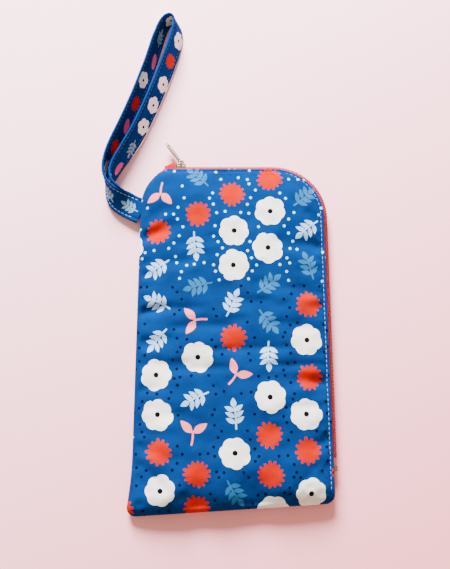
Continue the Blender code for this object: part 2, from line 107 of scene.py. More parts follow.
BLUE = (0.0, 0.0242, 0.124)
CORAL = (0.36, 0.0065, 0.0004)
CREAM = (0.72, 0.74, 0.74)
FAN = (0.016, 0.10, 0.25)
PINK = (0.74, 0.16, 0.20)
BLACK = (0.0025, 0.0028, 0.0035)
NAVY = (0.001, 0.003, 0.022)
WHITE = (0.22, 0.54, 0.76)
SPROUT = (0.25, 0.43, 0.70)
STRAP_BLUE = (0.0, 0.024, 0.13)
STRAP_CORAL = (0.40, 0.010, 0.001)
STRAP_LEAF = (0.15, 0.27, 0.38)
MAUVE = (0.50, 0.10, 0.22)
RED = (0.34, 0.006, 0.008)
NYLON_RED = (0.30, 0.008, 0.012)
THREAD = (0.20, 0.32, 0.50)
LINING = (0.30, 0.045, 0.03)
WADDING = (0.838799, 0.838799, 0.791298)
# Nickel's own colour, made darker and browner as painted shade for the dark surroundings the pull
# reflects.
NICKEL_WITH_PAINTED_SHADE = (0.30, 0.27, 0.19)

# Print
PRINT_SEED, PRINT_CELL, PRINT_JITTER = 12, 20.5, 1.6
PRINT_HALF_W, PRINT_HALF_H = 62, 104
POMPOM_R, DAISY_R, DAISY_EYE, SPRIG_SIZE, NOTCH = 7.4, 8.6, 1.5, 7.6, 0.72
SPOT_R, SPOT_SPACING, SPOT_CLEAR, WHITE_SPOTS_Y = 0.85, 4.8, 10.4, 30


def unit(value):
    """The value, kept between 0 and 1."""
    return min(max(value, 0.0), 1.0)


def waver(*at):
    """Smooth noise at a place, about 0."""
    return noise.noise(Vector(at))


# ---------------------------------------------------------------- outline and heights
def corner_inset(distance, radius):
    if distance >= radius:
        return 0.0
    reach = radius - max(distance, 0.0)
    return radius - sqrt(max(radius * radius - reach * reach, 0.0))


def up_shoulder(y):
    return unit((y - PANEL_TOP) / SHOULDER_LENGTH + 1.0)


def left_x(y):
    x = LEFT_X + LEFT_TAPER * y + SHOULDER_INSET * up_shoulder(y) ** SHOULDER_CURVE
    x -= FLARE * unit((FLARE_TOP - y) / FLARE_LENGTH) ** 2
    return x + corner_inset(y - PANEL_BOTTOM, BOTTOM_LEFT_R)


def right_x(y):
    x = RIGHT_X + RIGHT_TAPER * y - corner_inset(PANEL_TOP - y, ZIP_CORNER_R)
    return x - corner_inset(y - PANEL_BOTTOM, BOTTOM_RIGHT_R)


def lift_bottom(x, y):
    across = (x - LEFT_X) / (RIGHT_X - LEFT_X)
    rise = BOTTOM_RISE * across * (PANEL_TOP - y) / (PANEL_TOP - PANEL_BOTTOM)
    return y + rise + corner_lift(x, y)


def corner_lift(x, y):
    """The end of the zip pulls the sewn top corner up a little."""
    aside = unit((LIFT_X - x) / LIFT_ACROSS)
    up = unit((y - PANEL_TOP) / LIFT_DOWN + 1.0)
    return CORNER_LIFT * aside * aside * (3.0 - 2.0 * aside) * up * up


def drop_bottom(x, y):
    """The pattern y of a point that lift_bottom has raised to y."""
    slope = BOTTOM_RISE * (x - LEFT_X) / (RIGHT_X - LEFT_X) / (PANEL_TOP - PANEL_BOTTOM)
    found = y
    for _ in range(4):
        found = (y - corner_lift(x, found) - slope * PANEL_TOP) / (1.0 - slope)
    return found


def zip_distance(x, y):
    if x > CORNER_X and y > CORNER_Y:
        return max(ZIP_CORNER_R - hypot(x - CORNER_X, y - CORNER_Y), 0.0)
    return max(min(RIGHT_X + RIGHT_TAPER * y - x, PANEL_TOP - y), 0.0)


def round_over(distance, reach):
    share = unit(distance / reach)
    return sqrt(1.0 - (1.0 - share) ** 2)


def front_height(x, y):
    side_reach = SIDE_REACH + (SHOULDER_REACH - SIDE_REACH) * up_shoulder(y)
    crown = round_over(x - left_x(y), side_reach) * round_over(y - PANEL_BOTTOM, BOTTOM_REACH)
    zip_fall = 1.0 - round_over(zip_distance(x, y), ZIP_REACH)
    height = MID_HEIGHT - (MID_HEIGHT - ZIP_EDGE_HEIGHT) * zip_fall
    return SEAM_TOP + (height - SEAM_TOP) * crown


def back_height(x, y):
    reach = HEEL_REACH + (SHOULDER_HEEL_REACH - HEEL_REACH) * up_shoulder(y)
    flat = round_over(x - left_x(y), reach) * round_over(y - PANEL_BOTTOM, HEEL_REACH)
    return SEAM_BOTTOM * (1.0 - flat)


def edge_distance(x, y):
    """Distance to the nearest edge of the pattern, sewn or zipped."""
    return min(x - left_x(y), y - PANEL_BOTTOM, zip_distance(x, y))


def pouch_outline(inset=0.0, step=1.2):
    """The pattern's edge, anticlockwise from the bottom left, as plan points."""
    low, high = PANEL_BOTTOM + inset, PANEL_TOP - inset
    ys = [low] + [low + 8.0 * (k / 12) ** 1.6 for k in range(1, 13)]
    while ys[-1] < high - 30.0:
        ys.append(ys[-1] + step)
    right_ys = ys + [ys[-1] + (high - ys[-1]) * sin(pi / 2 * k / 32) for k in range(1, 33)]
    left_ys = list(ys)
    while left_ys[-1] < high - 1.4 * step:
        left_ys.append(left_ys[-1] + step)
    left_ys.append(high)
    right = [(right_x(y) - inset, y) for y in right_ys]
    left = [(left_x(y) + inset, y) for y in left_ys]

    def across(a, b):
        count = max(int((b[0] - a[0]) / step), 2)
        return [(a[0] + (b[0] - a[0]) * k / count, a[1]) for k in range(1, count)]

    ring = across(left[0], right[0])
    ring = [left[0]] + ring + right + list(reversed(across(left[-1], right[-1]))) + left[:0:-1]
    return [(x, lift_bottom(x, y)) for x, y in ring]


# ---------------------------------------------------------------- motifs, as flat polygons
def place(points, x, y, turn=0.0):
    c, s = cos(radians(turn)), sin(radians(turn))
    return [(x + a * c - b * s, y + a * s + b * c) for a, b in points]


def oval(x, y, rx, ry, turn=0.0, steps=28):
    flat = [(rx * cos(2 * pi * k / steps), ry * sin(2 * pi * k / steps))
            for k in range(steps)]
    return place(flat, x, y, turn)


def dot(x, y, r):
    return oval(x, y, r, r, 0.0, 10)


def scallop(x, y, size, turn, lobes, seed):
    """A flower outline: the union of nearly equal round petals, seen from its centre."""
    rng = random.Random(seed)
    sizes = [1.0 + rng.uniform(-0.05, 0.05) for _ in range(lobes)]
    reach, petal = 0.54, 0.47
    points = []
    for k in range(60):
        angle = 2 * pi * k / 60
        place_in = angle * lobes / (2 * pi)
        nearest = round(place_in)
        off = (place_in - nearest) * 2 * pi / lobes
        side = petal ** 2 - (reach * sin(off)) ** 2
        r = reach * cos(off) + sqrt(max(side, 0.0))
        r *= sizes[nearest % lobes]
        points.append((size * r * cos(angle), size * r * sin(angle)))
    return place(points, x, y, turn)


def burst(x, y, r, turn, rays, seed):
    """A pompom: a disc with short round-ended rays."""
    rng = random.Random(seed)
    points = []
    for k in range(rays):
        reach = r * rng.uniform(0.92, 1.07)
        half = pi / rays
        middle = 2 * half * k + rng.uniform(-0.12, 0.12) * half
        tip = [(off, reach * share) for off, share in (
            (-0.56, 0.86), (-0.44, 0.94), (-0.22, 0.99), (0.22, 0.99), (0.44, 0.94), (0.56, 0.86))]
        for off, size in [(-1.0, r * NOTCH)] + tip:
            points.append((size * cos(middle + off * half), size * sin(middle + off * half)))
    return place(points, x, y, turn)


def leaf(start, end, width):
    """A leaf with two pointed ends, widest at the belly."""
    (ax, ay), belly, steps = start, 0.4, 18
    dx, dy = end[0] - ax, end[1] - ay
    length = hypot(dx, dy)
    nx, ny = -dy / length, dx / length
    left, right = [], []
    for k in range(steps + 1):
        t = k / steps
        u = 0.5 * t / belly if t < belly else 0.5 + 0.5 * (t - belly) / (1 - belly)
        w = max(width / 2 * sin(pi * u) ** 0.85, 0.01)
        left.append((ax + dx * t + nx * w, ay + dy * t + ny * w))
        right.append((ax + dx * t - nx * w, ay + dy * t - ny * w))
    return left + right[::-1]


def smooth_line(points, steps=6):
    """Samples of a Catmull-Rom curve through points of any dimension."""
    fine = []
    for i in range(len(points) - 1):
        before, here = points[max(i - 1, 0)], points[i]
        after, beyond = points[i + 1], points[min(i + 2, len(points) - 1)]
        for k in range(steps):
            t = k / steps
            fine.append(tuple(
                0.5 * (2 * b + (c - a) * t + (2 * a - 5 * b + 4 * c - d) * t * t
                       + (3 * b - a - 3 * c + d) * t ** 3)
                for a, b, c, d in zip(before, here, after, beyond)))
    fine.append(tuple(points[-1]))
    return fine


def stroke(points, width):
    """A line of paint through points, with round ends."""
    fine, half = smooth_line(points), 0.5 * width
    left, right, caps = [], [], []
    for i, (x, y) in enumerate(fine):
        p, q = fine[max(i - 1, 0)], fine[min(i + 1, len(fine) - 1)]
        length = hypot(q[0] - p[0], q[1] - p[1]) or 1.0
        tx, ty = (q[0] - p[0]) / length, (q[1] - p[1]) / length
        left.append((x - ty * half, y + tx * half))
        right.append((x + ty * half, y - tx * half))
        if i in (0, len(fine) - 1):
            turn = 180 if i == 0 else 0
            caps.append([(x + half * (cos(a) * tx - sin(a) * ty),
                          y + half * (cos(a) * ty + sin(a) * tx))
                         for a in (radians(turn + d) for d in (50, 0, -50))])
    return left + caps[1] + list(reversed(right)) + caps[0]


def triangular_grid(left, right, low, high, spacing):
    """Points of an even triangular grid, row by row."""
    row, y = 0, low
    while y < high:
        x = left + (spacing / 2 if row % 2 else 0.0)
        while x < right:
            yield x, y
            x += spacing
        y += spacing * 0.87
        row += 1


def scatter(seed, jitter=0.22):
    """Jittered grid points over the whole print."""
    rng = random.Random(seed)
    found = []
    for x, y in triangular_grid(-PRINT_HALF_W, PRINT_HALF_W, -PRINT_HALF_H, PRINT_HALF_H,
                                SPOT_SPACING):
        px = x + rng.uniform(-jitter, jitter) * SPOT_SPACING
        py = y + rng.uniform(-jitter, jitter) * SPOT_SPACING
        if abs(px) < PRINT_HALF_W and abs(py) < PRINT_HALF_H:
            found.append((px, py))
    return found


def sprig(x, y, turn, size):
    """A plain stem with three pairs of leaves and one at its tip."""
    parts = [stroke([(0, -size), (0.06 * size, 0), (0, 0.7 * size)], 0.08 * size + 0.4),
             leaf((0, 0.5 * size), (0, 1.2 * size), 0.42 * size)]
    for k in range(3):
        root = size * (-0.6 + 0.42 * k)
        for side in (-1, 1):
            tip = (side * 0.66 * size, root + 0.4 * size)
            parts.append(leaf((0, root), tip, 0.34 * size))
    return [place(part, x, y, turn) for part in parts]


def front_motifs():
    """The print: a tossed floral of common shapes on a jittered half-drop grid.

    The layout, the sprigs, the leaf pairs and the strap's order are not the photo's. The palette,
    the motifs' sizes and the pompom's outline are, and the scalloped flower's is loosely."""
    rng = random.Random(PRINT_SEED)
    shapes, centres = [], []

    def add(colour, *polygons):
        shapes.extend((polygon, colour) for polygon in polygons)

    kinds = ("pompom", "daisy", "sprig", "dark_sprig", "leaves")
    for column in range(-3, 4):
        for row in range(-5, 6):
            x = PRINT_CELL * column + rng.uniform(-PRINT_JITTER, PRINT_JITTER)
            y = PRINT_CELL * (row + 0.5 * (column % 2))
            y += rng.uniform(-PRINT_JITTER, PRINT_JITTER)
            turn = rng.uniform(0, 360)
            kind = rng.choices(kinds, (6, 4.2, 3, 2, 1.5))[0]
            centres.append((x, y))
            if kind == "pompom":
                add(CORAL, burst(x, y, POMPOM_R, turn, 13 + row % 3, row))
            elif kind == "daisy":
                add(CREAM, scallop(x, y, DAISY_R, turn, 7, row))
                add(BLACK, dot(x, y, DAISY_EYE))
            elif kind == "leaves":
                add(PINK, place(stroke([(0, -6), (0.3, -2.5), (0, 1)], 1.1), x, y, turn))
                for lean in (-50, 50):
                    add(PINK, place(leaf((0, 0.5), (0, 9.5), 4.4), x, y, turn + lean))
            else:
                add(SPROUT if kind == "sprig" else FAN, *sprig(x, y, turn, SPRIG_SIZE))
    for x, y in scatter(4):
        if min(dist((x, y), centre) for centre in centres) > SPOT_CLEAR:
            add(NAVY if y < WHITE_SPOTS_Y else WHITE, dot(x, y, SPOT_R))
    return shapes


def turned(shapes):
    """The same print, turned half round, for the back."""
    return [([(-x, -y) for x, y in polygon], colour) for polygon, colour in shapes]


# ---------------------------------------------------------------- meshes
def link(name, data):
    """A new object in the scene."""
    thing = bpy.data.objects.new(name, data)
    bpy.context.scene.collection.objects.link(thing)
    return thing


def finish_mesh(name, points, faces, stuff=None, smooth=True):
    mesh = bpy.data.meshes.new(name)
    mesh.from_pydata([Vector(p) * MM for p in points], [], faces)
    mesh.update()
    if smooth:
        mesh.shade_smooth()
    if stuff is not None:
        mesh.materials.append(stuff)
    return link(name, mesh)


def tidy_polygon(points):
    """Without doubled points, and anticlockwise."""
    kept = []
    for p in points:
        if not kept or dist(p, kept[-1]) > 0.02:
            kept.append(p)
    if dist(kept[0], kept[-1]) < 0.02:
        kept.pop()
    area = sum(a[0] * b[1] - b[0] * a[1] for a, b in zip(kept, kept[1:] + kept[:1]))
    return kept if area > 0 else list(reversed(kept))


def printed_mesh(name, stuff, outline, points, shapes, to_3d, ground, turns=()):
    """A cloth cut to the outline, with every motif's edge in the mesh as a crisp colour edge.

    turns are (outward, upward) steps of the rings that turn the cloth under at its edge."""
    coords = [Vector(p) for p in outline]
    polygons = [list(range(len(coords)))]
    for polygon, _ in shapes:
        clean = tidy_polygon(polygon)
        polygons.append(list(range(len(coords), len(coords) + len(clean))))
        coords += [Vector(p) for p in clean]
    coords += [Vector(p) for p in points]
    plan, _, faces, _, _, origins = delaunay_2d_cdt(coords, [], polygons, 0, 1e-4)
    kept, tints = [], []
    for face, origin in zip(faces, origins):
        if 0 in origin:
            top = max(origin)
            kept.append(list(face))
            tints.append(ground if top == 0 else shapes[top - 1][1])
    used = sorted({v for face in kept for v in face})
    renumber = {v: i for i, v in enumerate(used)}
    kept = [[renumber[v] for v in face] for face in kept]
    plan = [plan[v] for v in used]
    solid = [to_3d(p.x, p.y) for p in plan]
    weave = [(p.x, p.y, 0.0) for p in plan]

    if turns:
        owner = {}
        for face, tint in zip(kept, tints):
            for a, b in zip(face, face[1:] + face[:1]):
                owner[(a, b)] = tint
        follow = {a: b for (a, b) in owner if (b, a) not in owner}
        start = min(follow)
        loop = [start]
        while follow[loop[-1]] != start:
            loop.append(follow[loop[-1]])
        count = len(loop)
        previous = loop
        for ring, (out, rise) in enumerate(turns):
            made = []
            for k, v in enumerate(loop):
                a, b = plan[loop[(k - 3) % count]], plan[loop[(k + 3) % count]]
                tangent = (b - a).normalized()
                x, y = plan[v]
                made.append(len(solid))
                solid.append((x + tangent.y * out, y - tangent.x * out, to_3d(x, y)[2] + rise))
                weave.append((x + tangent.y * ring, y - tangent.x * ring, 0.0))
            for k in range(count):
                m = (k + 1) % count
                kept.append([previous[m], previous[k], made[k], made[m]])
                tints.append(owner[(loop[k], loop[m])])
            previous = made
    thing = finish_mesh(name, solid, kept, stuff)
    paint(thing, tints)
    lay_weave(thing, weave)
    return thing


def paint(thing, tints):
    """Stores a colour for each face."""
    colour = thing.data.color_attributes.new("print", "FLOAT_COLOR", "CORNER")
    flat = []
    for polygon, tint in zip(thing.data.polygons, tints):
        flat += [*tint, 1.0] * polygon.loop_total
    colour.data.foreach_set("color", flat)


def lay_weave(thing, places):
    """Stores the place of each point on the flat cloth."""
    weave = thing.data.attributes.new("weave", "FLOAT_VECTOR", "POINT")
    weave.data.foreach_set("vector", [c for p in places for c in p])


def crease(x, y, cx, cy, turn, length, width, depth):
    """A soft fold of the cloth: depth mm deep, fading along its length."""
    c, s = cos(radians(turn)), sin(radians(turn))
    u = (x - cx) * c + (y - cy) * s
    v = -(x - cx) * s + (y - cy) * c
    return depth * exp(-(u / length) ** 2 - (v / width) ** 2)


# Each is (x, y, turn, length, width, depth)
CREASES = (
    (-52, 15, 8, 19, 3.0, -2.6), (-50, 59, 22, 17, 3.2, -2.2), (-52, 36, -6, 13, 3.0, -1.2),
    (-53, -30, 5, 13, 4.2, -1.2), (-52, -2, -4, 14, 3.6, -1.0), (52, 50, 166, 18, 3.6, -2.4),
    (50, -28, 170, 20, 3.8, -2.6), (52, 14, 186, 13, 3.6, -1.4), (51, -60, 190, 18, 4.2, -2.0),
    (20, 96, 84, 11, 4.6, -1.0), (-8, 97, 95, 10, 4.2, -0.8), (-18, -90, 88, 13, 5.6, -1.6),
    (14, -88, 96, 12, 5.6, -1.7), (-42, -88, 60, 11, 4.6, -1.2), (0, 40, 12, 38, 9.0, 0.6),
    (6, -40, -10, 40, 10.0, 0.6), (-25, -12, 30, 16, 5.0, -0.5), (24, -52, -20, 15, 5.0, -0.5),
)


def front_relief(x, y, settled=None):
    """What pads, seams and handling do to the front's smooth height."""
    zip_gap = zip_distance(x, y)
    rise = sum(crease(x, y, *c) for c in CREASES)
    rise += 0.9 * waver(x / 21, y / 24, 3.0)
    rise += 0.5 * waver(x / 8, y / 7, 8.0)
    rise += 0.12 * waver(x / 2.6, y / 2.2, 4.0)
    if settled is not None:
        rise += settled(x, y)
    rise *= min(edge_distance(x, y) / 4.0, 1.0)
    groove = exp(-((zip_gap - TOPSTITCH) / STITCH_GROOVE) ** 2)
    pucker = exp(-((zip_gap - TOPSTITCH - 2.4) / 2.6) ** 2)
    run = x + y
    rise -= 0.6 * groove
    rise += 0.16 * pucker * sin(run * 1.7 + 3 * waver(run / 9, 0, 0))
    return rise


def domain_points(spacing):
    """Rings that bunch up at the edge, then an even grid."""
    outline = pouch_outline()
    count = len(outline)
    points = []
    for inset in (0.06, 0.22, 0.5, 0.9, 1.4, 2.0, 2.7, 3.4, 4.2, 5.2):
        for k in range(count):
            a, b = outline[(k - 1) % count], outline[(k + 1) % count]
            length = dist(a, b)
            nx, ny = (b[1] - a[1]) / length, -(b[0] - a[0]) / length
            x, y = outline[k][0] - nx * inset, outline[k][1] - ny * inset
            if edge_distance(x, drop_bottom(x, y)) > 0.6 * inset:
                points.append((x, y))
    for x, y in triangular_grid(LEFT_X - 2, RIGHT_X + 3, PANEL_BOTTOM, PANEL_TOP, spacing):
        pattern_y = drop_bottom(x, y)
        if PANEL_BOTTOM < pattern_y < PANEL_TOP and edge_distance(x, pattern_y) > 5.8:
            points.append((x, y))
    return outline, points


def settle():
    """Lets a slightly large sheet, held at its edge, buckle, and returns its small wrinkles."""
    columns, rows, inset, frames = 34, 58, 0.6, 36
    height = PANEL_TOP - PANEL_BOTTOM - 2 * inset
    points, faces, held = [], [], []
    for j in range(rows):
        y = PANEL_BOTTOM + inset + height * j / (rows - 1)
        for i in range(columns):
            near, far = left_x(y) + inset, right_x(y) - inset
            x = near + (far - near) * i / (columns - 1)
            points.append((x, lift_bottom(x, y), front_height(x, y)))
            if i in (0, columns - 1) or j in (0, rows - 1):
                held.append(j * columns + i)
    for j in range(rows - 1):
        for i in range(columns - 1):
            a = j * columns + i
            faces.append((a, a + 1, a + columns + 1, a + columns))
    sheet = finish_mesh("settling", points, faces)
    sheet.data.transform(Matrix.Scale(10.0, 4))
    group = sheet.vertex_groups.new(name="held")
    group.add(held, 1.0, "REPLACE")
    cloth = sheet.modifiers.new("cloth", "CLOTH")
    for key, value in (("quality", 6), ("mass", 0.25), ("tension_stiffness", 12),
                       ("compression_stiffness", 12), ("shear_stiffness", 5),
                       ("bending_stiffness", 0.35), ("vertex_group_mass", "held"),
                       ("pin_stiffness", 1.0), ("shrink_min", -0.022)):
        setattr(cloth.settings, key, value)
    cloth.settings.effector_weights.gravity = -0.25
    cloth.collision_settings.use_collision = False
    cloth.collision_settings.use_self_collision = False
    scene = bpy.context.scene
    cloth.point_cache.frame_start = 1
    cloth.point_cache.frame_end = frames
    for number in range(1, frames + 1):
        scene.frame_set(number)
    evaluated = sheet.evaluated_get(bpy.context.evaluated_depsgraph_get())
    after = np.array([v.co.z for v in evaluated.data.vertices]) * 100.0
    before = np.array([v.co.z for v in sheet.data.vertices]) * 100.0
    scene.frame_set(1)
    bpy.data.objects.remove(sheet, do_unlink=True)
    change = (after - before).reshape(rows, columns)
    broad = change.copy()
    for _ in range(14):
        padded = np.pad(broad, 1, mode="edge")
        broad = (padded[:-2, 1:-1] + padded[2:, 1:-1] + padded[1:-1, :-2] + padded[1:-1, 2:]
                 + padded[1:-1, 1:-1]) / 5.0
    fine = np.clip(change - broad, -1.0, 1.0) + 0.25 * np.clip(broad, -2.0, 2.0)

    def wrinkle(x, y):
        near, far = left_x(y) + inset, right_x(y) - inset
        u = unit((x - near) / (far - near)) * (columns - 1)
        v = (y - PANEL_BOTTOM - inset) / height * (rows - 1)
        v = min(max(v, 0.0), rows - 1.0)
        i, j = min(int(u), columns - 2), min(int(v), rows - 2)
        u, v = u - i, v - j
        low = fine[j, i] * (1 - u) + fine[j, i + 1] * u
        high = fine[j + 1, i] * (1 - u) + fine[j + 1, i + 1] * u
        return float(low * (1 - v) + high * v)

    return wrinkle


# ---------------------------------------------------------------- materials
def new_material(name):
    made = bpy.data.materials.new(name)
    made.use_nodes = True
    tree = made.node_tree
    return made, tree, tree.nodes["Principled BSDF"]


def fill(node, values):
    """Sets each named input, or else attribute, of a node."""
    for key, value in values.items():
        if key in node.inputs:
            node.inputs[key].default_value = value
        else:
            setattr(node, key, value)
    return node


def add_node(tree, kind, **values):
    return fill(tree.nodes.new(kind), values)


def add_bump(tree, shader, height, strength, distance):
    bumped = add_node(tree, "ShaderNodeBump", Strength=strength, Distance=distance)
    tree.links.new(height, bumped.inputs["Height"])
    tree.links.new(bumped.outputs[0], shader.inputs["Normal"])


def math_node(tree, operation, first, second):
    node = tree.nodes.new("ShaderNodeMath")
    node.operation = operation
    for socket, value in zip(node.inputs, (first, second)):
        if isinstance(value, (int, float)):
            socket.default_value = value
        else:
            tree.links.new(value, socket)
    return node.outputs[0]


def fabric(name, colour=None, pitch=0.42, bump=0.5, roughness=0.85, sheen=0.03, vary=0.10,
           specular=0.04):
    """Plain-woven cloth. The colour is a fixed one, or else the mesh's printed colour."""
    made, tree, shader = new_material(name)
    links = tree.links
    place_on = add_node(tree, "ShaderNodeAttribute", attribute_name="weave")
    split = add_node(tree, "ShaderNodeSeparateXYZ")
    links.new(place_on.outputs["Vector"], split.inputs[0])
    times, plus, wave = (partial(math_node, tree, kind) for kind in ("MULTIPLY", "ADD", "SINE"))
    turn = pi / pitch
    weave = times(*(wave(times(split.outputs[axis], turn), 0) for axis in (0, 1)))

    def stretched(x, y):
        shape = add_node(tree, "ShaderNodeVectorMath", operation="MULTIPLY")
        links.new(place_on.outputs["Vector"], shape.inputs[0])
        shape.inputs[1].default_value = (x, y, 1.0)
        grain = add_node(tree, "ShaderNodeTexNoise", Scale=1.0, Detail=3.0)
        links.new(shape.outputs[0], grain.inputs["Vector"])
        return grain.outputs[0]

    slub = plus(stretched(0.35, 4.2), stretched(4.2, 0.35))
    cloud = stretched(0.07, 0.09)
    add_bump(tree, shader, plus(times(weave, 0.5), times(slub, 0.9)), bump, 0.00012)

    level = plus(times(slub, vary), times(cloud, vary * 2.2))
    level = plus(plus(level, times(weave, vary * 0.45)), 1.0 - vary * 2.1)
    tinted = add_node(tree, "ShaderNodeVectorMath", operation="SCALE")
    if colour is None:
        printed = add_node(tree, "ShaderNodeAttribute", attribute_name="print")
        links.new(printed.outputs["Color"], tinted.inputs[0])
    else:
        tinted.inputs[0].default_value = colour
    links.new(level, tinted.inputs["Scale"])
    links.new(tinted.outputs[0], shader.inputs["Base Color"])
    fill(shader, {"Roughness": roughness, "Sheen Weight": sheen, "Sheen Roughness": 0.45,
                  "Specular IOR Level": specular})
    return made


def plain(name, colour, roughness, metallic=0.0, bump=0.0, scale=900.0, distance=0.00005):
    made, tree, shader = new_material(name)
    fill(shader, {"Base Color": (*colour, 1.0), "Roughness": roughness, "Metallic": metallic})
    if bump:
        grain = add_node(tree, "ShaderNodeTexNoise", Scale=scale, Detail=4.0)
        where = add_node(tree, "ShaderNodeTexCoord")
        tree.links.new(where.outputs["Object"], grain.inputs["Vector"])
        add_bump(tree, shader, grain.outputs[0], bump, distance)
    return made


# ---------------------------------------------------------------- cloths of the pouch
def fold_with_mouth(piece):
    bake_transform(piece)


def add_front_cloth(motifs, stuff, settled):
    outline, points = domain_points(1.5)

    def to_3d(x, y):
        pattern_y = drop_bottom(x, y)
        return (x, y, front_height(x, pattern_y) + front_relief(x, pattern_y, settled))

    turns = ((0.12, -0.35), (0.0, -0.75), (-0.6, -1.0), (-2.2, -0.95))
    cloth = printed_mesh("front_cloth", stuff, outline, points, motifs, to_3d, BLUE, turns)
    fold_with_mouth(cloth)
    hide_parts("front_panel", "front_panel_flap")
    return to_3d


def add_back_cloth(motifs, stuff):
    outline, points = domain_points(2.2)

    def to_3d(x, y):
        pattern_y = drop_bottom(x, y)
        inner = min(edge_distance(x, pattern_y) / 9.0, 1.0)
        groove = exp(-((zip_distance(x, pattern_y) - TOPSTITCH) / STITCH_GROOVE) ** 2)
        ripple = 0.25 * (1 + waver(x / 16, y / 19, 5.0)) * inner * (1 - inner) * 4
        return (x, y, back_height(x, pattern_y) + 0.5 * groove + ripple)

    turns = ((0.12, 0.3), (-0.1, 0.55), (-2.2, 0.6))
    cloth = printed_mesh("back_cloth", stuff, outline, points, turned(motifs), to_3d, BLUE, turns)
    cloth.data.flip_normals()
    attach(cloth, "pouch")
    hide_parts("back_panel")
    return to_3d


def slab(name, rows, low, high, stuff):
    """A soft layer between two heights; rows are (pattern y, left, right) with even columns."""
    columns = 30
    points, faces = [], []
    for height in (low, high):
        for y, near, far in rows:
            for i in range(columns):
                x = near + (far - near) * i / (columns - 1)
                points.append((x, lift_bottom(x, y), height(x, y)))
    size = len(rows) * columns
    for j in range(len(rows) - 1):
        for i in range(columns - 1):
            a = j * columns + i
            faces.append((a, a + columns, a + columns + 1, a + 1))
            faces.append((size + a, size + a + 1, size + a + columns + 1, size + a + columns))
    rim = [j * columns for j in range(len(rows) - 1, 0, -1)]
    rim += list(range(columns - 1))
    rim += [j * columns + columns - 1 for j in range(len(rows) - 1)]
    rim += [(len(rows) - 1) * columns + i for i in range(columns - 1, 0, -1)]
    for a, b in zip(rim, rim[1:] + rim[:1]):
        faces.append((a, b, size + b, size + a))
    thing = finish_mesh(name, points, faces, stuff)
    lay_weave(thing, [(x, y, 0.0) for x, y, _ in points])
    thing.data.set_sharp_from_angle(angle=radians(50))
    return thing


def inner_rows(inset, count=64):
    rows = []
    low, high = PANEL_BOTTOM + inset, PANEL_TOP - inset
    for k in range(count):
        y = low + (high - low) * (0.5 - 0.5 * cos(pi * k / (count - 1)))
        right = RIGHT_X + RIGHT_TAPER * y - inset
        right -= corner_inset(high - y, ZIP_CORNER_R - inset)
        rows.append((y, left_x(y) + inset, right))
    return rows


def add_layers(batting, lining, settled):
    def soft(x, y, amount=0.12):
        return amount * waver(x / 6, y / 6, 1.5)

    def front(depth):
        return lambda x, y: (front_height(x, y) + front_relief(x, y, settled)
                             - depth + 0.5 * soft(x, y))

    def back(rise):
        return lambda x, y: back_height(x, y) + rise + soft(x, y)

    rows = inner_rows(4.2)
    front_batting = slab("front_batting", rows, front(3.0), front(1.8), batting)
    front_inner = slab("front_inner", inner_rows(4.0), front(3.75), front(3.35), lining)
    back_batting = slab("back_batting", rows, back(0.9), back(2.1), batting)
    back_inner = slab("back_inner", inner_rows(2.4), back(2.35), back(2.75), lining)
    for piece, kind in ((front_batting, "wadding"), (front_inner, "lining")):
        fold_with_mouth(piece)
        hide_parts("front_" + kind, "front_" + kind + "_flap")
    for piece, node in ((back_batting, "back_wadding"), (back_inner, "back_lining")):
        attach(piece, "pouch")
        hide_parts(node)

    floor = 3.15
    for name, node, top in (("rear_pocket", "card_pocket_rear", 38.0),
                            ("front_pocket", "card_pocket_front", 8.0)):
        base = floor

        def under(x, y):
            return base + 0.1 * waver(x / 12, y / 12, top)

        def over(x, y):
            hem = 1.0 if top - 5.0 < y < top - 0.4 else 0.0
            seam = 1.0 if abs(y - top + 5.0) < 0.6 else 0.0
            return under(x, y) + 0.35 + 0.22 * hem - 0.1 * seam

        steps = [-82 + (top - 5.8 + 82) * k / 24 for k in range(25)]
        steps += [top - d for d in (5.5, 5.2, 4.8, 4.4, 3.5, 2.0, 0.9, 0.3, 0.0)]
        pocket = slab(name, [(y, -46.0, 46.0) for y in steps], under, over, lining)
        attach(pocket, "pouch")
        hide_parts(node)
        floor += 0.75


# ---------------------------------------------------------------- zip
def zip_run(inset, start_x, end_y, pitch):
    """Evenly spaced (point, outward) pairs on the zipped edge, inset from it."""
    r = ZIP_CORNER_R - inset
    fine = [(start_x + (CORNER_X - start_x) * k / 240, PANEL_TOP - inset, 0.0, 1.0)
            for k in range(240)]
    for a in (pi / 2 * (1 - k / 200) for k in range(200)):
        fine.append((CORNER_X + r * cos(a), CORNER_Y + r * sin(a), cos(a), sin(a)))
    for k in range(501):
        y = CORNER_Y + (end_y - CORNER_Y) * k / 500
        fine.append((right_x(y) - inset, y, 1.0, -RIGHT_TAPER))
    fine = [(x, lift_bottom(x, y), nx, ny, y) for x, y, nx, ny in fine]
    run, travelled = [fine[0]], 0.0
    for before, here in zip(fine, fine[1:]):
        travelled += dist(before[:2], here[:2])
        if travelled >= pitch:
            run.append(here)
            travelled -= pitch
    return [(Vector((x, y, 0)), Vector((nx, ny, 0)).normalized(), pattern_y)
            for x, y, nx, ny, pattern_y in run]


